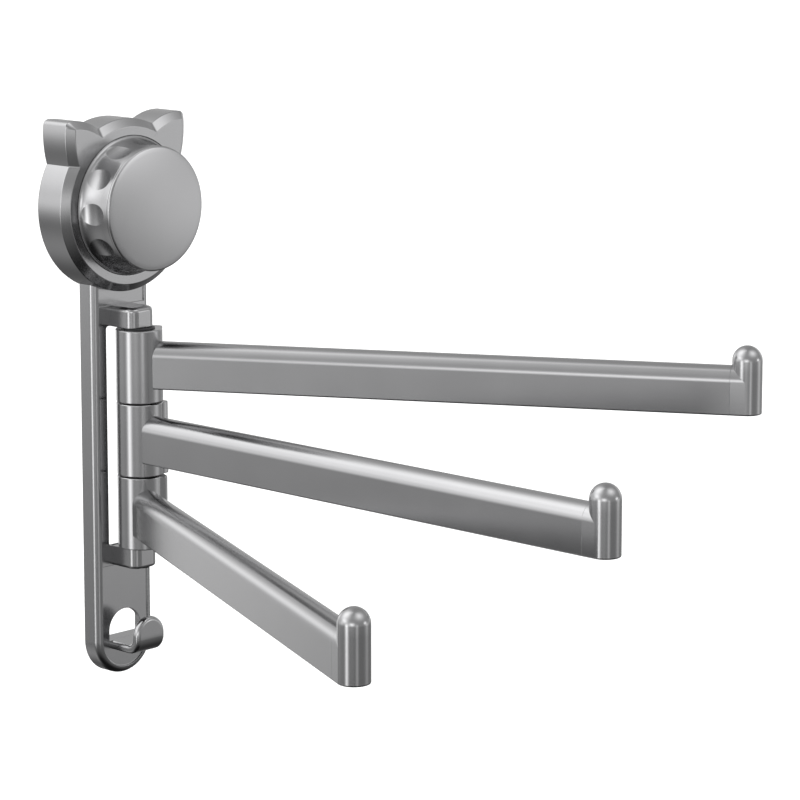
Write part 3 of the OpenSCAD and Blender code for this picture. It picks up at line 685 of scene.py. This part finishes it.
# %% Plate rim
PLATE_HW, PLATE_BACK, PLATE_FRONT, FACE_D, WEB_BACK = 18.4, 2.6, 13.0, 12.3, 10.3
RIM_R, SIDE_T, FOOT_Z, MEET_R = 3.7, 3.2, -218.4, 42.65
STACK_TOP, STACK_BOTTOM, LUG_H = -59.7, -170.1, 10.2
BACK_EDGE, STEP_EDGE = 0.3, 0.25
rim_x = PLATE_HW - RIM_R

rim = np.concatenate([
    [[PLATE_HW - BACK_EDGE, PLATE_BACK], [PLATE_HW, PLATE_BACK + BACK_EDGE]],
    [[PLATE_HW, PLATE_FRONT - RIM_R - GUARD]],
    arc((rim_x, PLATE_FRONT - RIM_R), RIM_R, 0, 86, 12),
    arc((rim_x + STEP_EDGE + 0.01, PLATE_FRONT - STEP_EDGE - 0.01), STEP_EDGE, 100, 180, 4),
    [[rim_x, FACE_D + 0.35]], arc((rim_x - STEP_EDGE, FACE_D + STEP_EDGE), STEP_EDGE, 0, -90, 4),
    [[rim_x - 0.4, FACE_D], [rim_x - 0.8, FACE_D], [rim_x - 0.8, FACE_D - 1]],
    [[PLATE_HW - SIDE_T, WEB_BACK], [PLATE_HW - SIDE_T, PLATE_BACK]]])


def meet_z(x):
    """Height where the head's circle ends the plate."""
    return -np.sqrt(MEET_R ** 2 - np.asarray(x) ** 2)


x, d = rim.T
fan = np.radians(np.linspace(180, 360, 61))
rim_rows = [np.stack([-x, meet_z(x), d], 1)]
rim_rows += [np.stack([x * math.cos(t), FOOT_Z + x * math.sin(t), d], 1) for t in fan]
rim_rows += [np.stack([x, meet_z(x), d], 1)]
rim_rows = np.stack(rim_rows)
ends = [list(range(len(x))), [len(x) * (len(rim_rows) - 1) + i for i in range(len(x))]]
rim_shell = (on_wall(rim_rows.reshape(-1, 3)), grid_quads(*rim_rows.shape[:2]).tolist() + ends)
print("plate rim:", rim_rows.shape[0], "sections of", rim_rows.shape[1], "points")


def column(half_width, z_low, top=None):
    """Outline of a strip of the plate from z_low up to a level, or up to the head's circle."""
    below = [[-half_width, z_low], [half_width, z_low]]
    if top is not None:
        return np.array(below + [[half_width, top], [-half_width, top]])
    xs = np.linspace(half_width, -half_width, 25)
    return np.concatenate([below, np.stack([xs, meet_z(xs)], 1)])


def foot_fill(half_width, z_high):
    """Outline of the plate's round foot below a level."""
    t = math.degrees(math.acos(np.clip((z_high - FOOT_Z) / half_width, -1, 1))) - 90
    return arc((0, FOOT_Z), half_width, 180 + t, 360 - t, 48)


# %% [markdown]
# The web, the thicker pad round the window and the solid fills behind the lugs and the foot are slabs.
# Each stops a hair short of its neighbour's face, so that no two faces lie in one plane and flicker.

# %% Web, pad and fills
WINDOW_HW, WINDOW_R, ARCH_R, ARCH_Z, SHELF_Z = 10.3, 1.5, 10.3, -214.1, -218.8
HAIR, SLAB_EDGE = 0.002, 0.2
window = rounded([(x, z, WINDOW_R) for x, z in ((-WINDOW_HW, STACK_BOTTOM), (WINDOW_HW, STACK_BOTTOM),
                                                (WINDOW_HW, STACK_TOP), (-WINDOW_HW, STACK_TOP))])
arch_foot = SHELF_Z - 2 * HAIR
arch = np.concatenate([[[-ARCH_R, arch_foot], [ARCH_R, arch_foot]], arc((0, ARCH_Z), ARCH_R, 0, 180, 36)])
web_hw, pad_hw, fill_hw = rim_x - 0.6, rim_x + 0.45, PLATE_HW - SIDE_T / 2
neck, foot_top = STACK_TOP + LUG_H, STACK_BOTTOM - LUG_H
web_low = np.concatenate([foot_fill(web_hw, FOOT_Z), [[web_hw, foot_top + 2], [-web_hw, foot_top + 2]]])
web_d, fill_d = FACE_D - HAIR, FACE_D - 1
plate_shells = [
    rim_shell,
    slab(column(web_hw, neck - 2), [], WEB_BACK, web_d, on_wall, 0, 0),
    slab(column(pad_hw, foot_top, neck), [window], WEB_BACK, PLATE_FRONT, on_wall, 0, SLAB_EDGE),
    slab(web_low, [arch], WEB_BACK, web_d, on_wall, 0, SLAB_EDGE),
    slab(column(fill_hw, STACK_TOP), [], PLATE_BACK, fill_d, on_wall, SLAB_EDGE, 0),
    slab(column(fill_hw, foot_top, STACK_BOTTOM - 2.4), [], PLATE_BACK, fill_d, on_wall, SLAB_EDGE, 0),
    slab(foot_fill(fill_hw, SHELF_Z - 4 * HAIR), [], PLATE_BACK, fill_d, on_wall, SLAB_EDGE, 0)]
print("plate:", len(plate_shells), "shells so far")

# %% [markdown]
# Two lugs carry the pin. They stand out from the plate with rounded corners and, on the side away from
# the hubs, a large round edge, so a towel can't catch on them. The outline in plan is pushed upwards.
# The lower lug's round is smaller, because the pin's hole comes out beside it.

# %% Lugs
LUG_HW, LUG_FRONT, LUG_R, LUG_ROOT = 8.0, 29.4, 4.6, 11.0
LUG_EDGE, UPPER_ROUND, LOWER_ROUND, PLUG_R = 0.3, 2.2, 1.5, 2.15
lug_plan = rounded([(-LUG_HW, LUG_ROOT), (LUG_HW, LUG_ROOT), (LUG_HW, LUG_FRONT, LUG_R),
                    (-LUG_HW, LUG_FRONT, LUG_R)])
plug_hole = arc((0, PIN_OUT), PLUG_R, 0, 360, 32)[:-1]
plate_shells += [
    slab(lug_plan, [], STACK_TOP, neck, upright, LUG_EDGE, UPPER_ROUND),
    slab(lug_plan, [plug_hole], foot_top, STACK_BOTTOM, upright, LOWER_ROUND, LUG_EDGE)]
print("lugs:", 2 * LUG_HW, "mm wide, reach", LUG_FRONT, "mm from the wall")

# %% [markdown]
# The hook is a thick strip cast with the plate: a shelf that bends up into a tongue with a round end.
# It is drawn flat as nested loops, a straight part and a half circle, whose edges are rounded. Then it
# is bent: along the path, first outwards, then round the bend, then up.

# %% Hook
HOOK_HW, HOOK_T, HOOK_FRONT, TONGUE_TOP, BEND_R, HOOK_EDGE = 9.1, 4.7, 32.0, -204.8, 3.4, 1.9
SPINE = 5.0
bend_d = HOOK_FRONT - HOOK_T - BEND_R
bend_z = SHELF_Z + BEND_R
bend_l = (BEND_R + HOOK_T / 2) * np.pi / 2
flat_l = bend_d - LUG_ROOT
tongue_u = flat_l + bend_l + (TONGUE_TOP - HOOK_HW - bend_z)
straight = np.concatenate([np.linspace(0, flat_l, 5)[:-1], np.linspace(flat_l, flat_l + bend_l, 17),
                           [tongue_u]])
climb = edge_path(0, HOOK_T, HOOK_EDGE, HOOK_EDGE)
climb = np.concatenate([[[HOOK_HW, 0], [SPINE, 0]], climb, [[SPINE, HOOK_T], [HOOK_HW, HOOK_T]]])
hook_rows = []
for s, w in climb:
    r = HOOK_HW - s
    u = np.concatenate([straight[:-1] - 0.02 * s * (straight[:-1] == 0), [tongue_u]])
    tip = arc((tongue_u, 0), max(r, 1e-9), -90, 90, 36)
    flat = np.concatenate([np.stack([u[:-1], 0 * u[:-1] - r], 1), tip,
                           np.stack([u[-2::-1], 0 * u[:-1] + r], 1)])
    hook_rows.append(np.column_stack([flat, np.full(len(flat), w)]))


def bent(p):
    """(along the strip, across, height above its outer face) becomes a place on the bent hook."""
    u, x, w = p[..., 0], p[..., 1], p[..., 2]
    t = np.clip((u - flat_l) / bend_l, 0, 1) * np.pi / 2
    r = BEND_R + HOOK_T - w
    before, after = np.minimum(u - flat_l, 0), np.maximum(u - flat_l - bend_l, 0)
    d = bend_d + before + r * np.sin(t)
    return np.stack([x, -d, bend_z - r * np.cos(t) + after], -1)


plate_shells.append(grid_shell(bent(np.stack(hook_rows))))
build("wall_plate", plate_shells, "root", "back_plate", satin_grey)

# %% [markdown]
# Behind the head, against the wall, sits the suction cup: soft clear vinyl with three sealing rings. It
# is turned in profile. When the knob is let go the stud moves towards the wall, so the cup's middle
# follows the stud while its rim stays on the wall; here the piece is built in one pose and rides with
# neither body.

# %% Suction cup
CUP_R, LIP_T, CUP_T, BOSS_R, BOSS_FRONT, AIR_R, AIR_H = 39.1, 1.2, 3.2, 12.3, 8.0, 19.0, 2.4
grooves = np.concatenate([[[r - 0.6, 0], [r - 0.3, 0.35], [r + 0.3, 0.35], [r + 0.6, 0]]
                          for r in (24.0, 29.0, 34.0)])
cup_path = np.concatenate([[[0, AIR_H], [AIR_R / 2, AIR_H], [AIR_R, 0]], grooves,
                           rounded([(CUP_R - 2, 0), (CUP_R, 0, 0.25), (CUP_R, LIP_T, 0.3),
                                    (CUP_R - 2, CUP_T, 1.5), (BOSS_R + 2, CUP_T, 1.0),
                                    (BOSS_R, CUP_T + 2, 1.0), (BOSS_R, BOSS_FRONT, 0.6),
                                    (0, BOSS_FRONT)], closed=False)])
cup = build("vinyl_cup", [revolve(cup_path, on_wall)], None, "suction_cup", clear_vinyl)
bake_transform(cup)

# %% [markdown]
# Under each arm two socket screws lock the spigots. Their flat heads lie in the tube's wall. The head's
# face is a polar grid whose innermost rows step down into a hexagon, r = flats / cos(angle to a flat).

# %% Arm screws
HEX_HALF, HEX_DEPTH, SCREW_R, HEAD_H, SHANK_R, SHANK_L = 1.25, 0.6, 3.0, 0.75, 1.5, 11.5
a = np.linspace(0, 2 * np.pi, 48, endpoint=False)
hexagon = HEX_HALF / np.cos((a + np.pi / 6) % (np.pi / 3) - np.pi / 6)
screw_rows = [(0 * a, HEX_DEPTH), (hexagon, HEX_DEPTH), (hexagon, 0)]
screw_rows += [(r + 0 * a, z) for r, z in rounded(
    [(SCREW_R - 1, 0), (SCREW_R, 0, 0.25), (SCREW_R, HEAD_H), (SHANK_R, HEAD_H), (SHANK_R, SHANK_L),
     (0, SHANK_L)], closed=False)]
screw_grid = np.stack([np.stack([r * np.cos(a), r * np.sin(a), z + 0 * a], -1) for r, z in screw_rows])
proud = ARM_LIFT - 0.02
for level in LEVELS:
    shells = [grid_shell(on_level(level)(screw_grid + [x, 0, proud]))
              for x in (HUB_R + SPIGOT_L / 2, COLLAR_X - POST_SPIGOT_L / 2)]
    build(f"socket_screws_{level}", shells, f"swing_arm_{level}", f"arm_screws_{level}", zinc)

# %% [markdown]
# The photo is a studio shot on white. Satin metal shows its surroundings, so the light is drawn as the
# studio round the object. First come its two plain parts. The view direction gives an azimuth, 0 in front
# and 90 to the right, and a height, both in degrees. The light is dim below a soft horizon, darkest
# straight down, and brighter above.

# %% Sky and ground
HORIZON, BELOW, ABOVE = (-20, -4), 0.22, 0.56
NADIR, NADIR_SHARE = (-60, -24), 0.08
MATH, RANGE = "ShaderNodeMath", "ShaderNodeMapRange"

world = bpy.data.worlds.new("studio")
bpy.context.scene.world = world
world.use_nodes = True
tree = world.node_tree
looked = add(tree, "ShaderNodeTexCoord").outputs["Generated"]
parts = add(tree, "ShaderNodeSeparateXYZ", {"Vector": looked}).outputs
forward = add(tree, MATH, {0: parts["Y"], 1: -1}, {"operation": "MULTIPLY"})
turn = add(tree, MATH, {0: parts["X"], 1: forward}, {"operation": "ARCTAN2"})
turn = add(tree, MATH, {0: turn}, {"operation": "DEGREES"})
height = add(tree, MATH, {0: parts["Z"]}, {"operation": "ARCSINE"})
height = add(tree, MATH, {0: height}, {"operation": "DEGREES"})
sky = add(tree, RANGE, {"Value": height}, {"interpolation_type": "SMOOTHSTEP"},
          From_Min=HORIZON[0], From_Max=HORIZON[1], To_Min=BELOW, To_Max=ABOVE)
ground = add(tree, RANGE, {"Value": height}, {"interpolation_type": "SMOOTHSTEP"},
             From_Min=NADIR[0], From_Max=NADIR[1], To_Min=NADIR_SHARE)
light = add(tree, MATH, {0: sky, 1: ground}, {"operation": "MULTIPLY"})
print("light straight ahead:", ABOVE, "and below the horizon:", BELOW)

# %% [markdown]
# Then soft lamps are added, each named for its place. A lamp has an azimuth, an elevation, a half width
# and a half height in degrees, and a level. It falls off as exp(-(across^2 + along^2)), where both are
# measured in those halves, so it has no hard edge and looks like a diffused softbox. The numbers aren't
# chosen by hand: a least squares fit to the brightness of the photo gave them, and they were then rounded.

# %% Lamps
LAMPS = {"overhead_left": (-140, 50, 45, 33, 2.2), "left_top": (-115, 17, 22, 12, 1.6),
         "left_strip": (-95, -8, 10, 12, 3.0), "front_left": (-60, 4, 17, 9, 2.6),
         "front_slit": (-25, -8, 7, 9, 1.1), "overhead_front": (15, 55, 43, 22, 1.5),
         "front_right": (35, 4, 8, 5, 3.2), "right_low": (50, -8, 14, 7, 0.95),
         "right_wall": (100, 7, 20, 14, 0.65), "back_right": (165, -12, 10, 9, 1.1),
         "back_top": (175, 8, 13, 9, 1.25), "back_left": (-160, -4, 10, 10, 0.45),
         "side_card": (-135, 0, 12, 7, 0.8), "floor_left": (-145, -45, 30, 20, 0.5)}

for name, (azimuth, elevation, half_width, half_height, level) in LAMPS.items():
    aside = add(tree, MATH, {0: turn, 1: azimuth}, {"operation": "SUBTRACT"})
    aside = add(tree, MATH, {0: aside, 1: 180, 2: -180}, {"operation": "WRAP"})
    across = add(tree, MATH, {0: aside, 1: half_width}, {"operation": "DIVIDE"})
    above = add(tree, MATH, {0: height, 1: elevation}, {"operation": "SUBTRACT"})
    along = add(tree, MATH, {0: above, 1: half_height}, {"operation": "DIVIDE"})
    squared = add(tree, MATH, {0: along, 1: along}, {"operation": "MULTIPLY"})
    squared = add(tree, MATH, {0: across, 1: across, 2: squared}, {"operation": "MULTIPLY_ADD"})
    fade = add(tree, MATH, {0: squared, 1: -1}, {"operation": "MULTIPLY"})
    glow = add(tree, MATH, {0: fade}, {"operation": "EXPONENT"})
    light = add(tree, MATH, {0: glow, 1: level, 2: light}, {"operation": "MULTIPLY_ADD"})
    light.label = name
tree.links.new(light.outputs[0], tree.nodes["Background"].inputs["Color"])
world.cycles.sampling_method = "MANUAL"
world.cycles.sample_map_resolution = 512
bpy.context.scene.view_settings.view_transform = "Standard"
print("lamps:", ", ".join(LAMPS))

# %% [markdown]
# The rack hangs on a wall that isn't drawn, and the floor is plain and pale, a little below its foot. The
# metal doesn't mirror the floor, which keeps the undersides as deep as they are in the photo.

# %% Floor
FLOOR_Z, FLOOR_SIZE = -0.3, 60
bpy.ops.mesh.primitive_plane_add(size=FLOOR_SIZE, location=(0, 0, FLOOR_Z))
floor = bpy.context.object
floor.name = "floor"
floor_paint = material("pale_floor", ("#f2f2f2", "#f6f6f6"), 0.0, 0.9, 30.0, 0.05,
                       Emission_Color=srgb("#ffffff"), Emission_Strength=0.3)
floor.data.materials.append(floor_paint)
floor.visible_glossy = False
floor.visible_diffuse = False
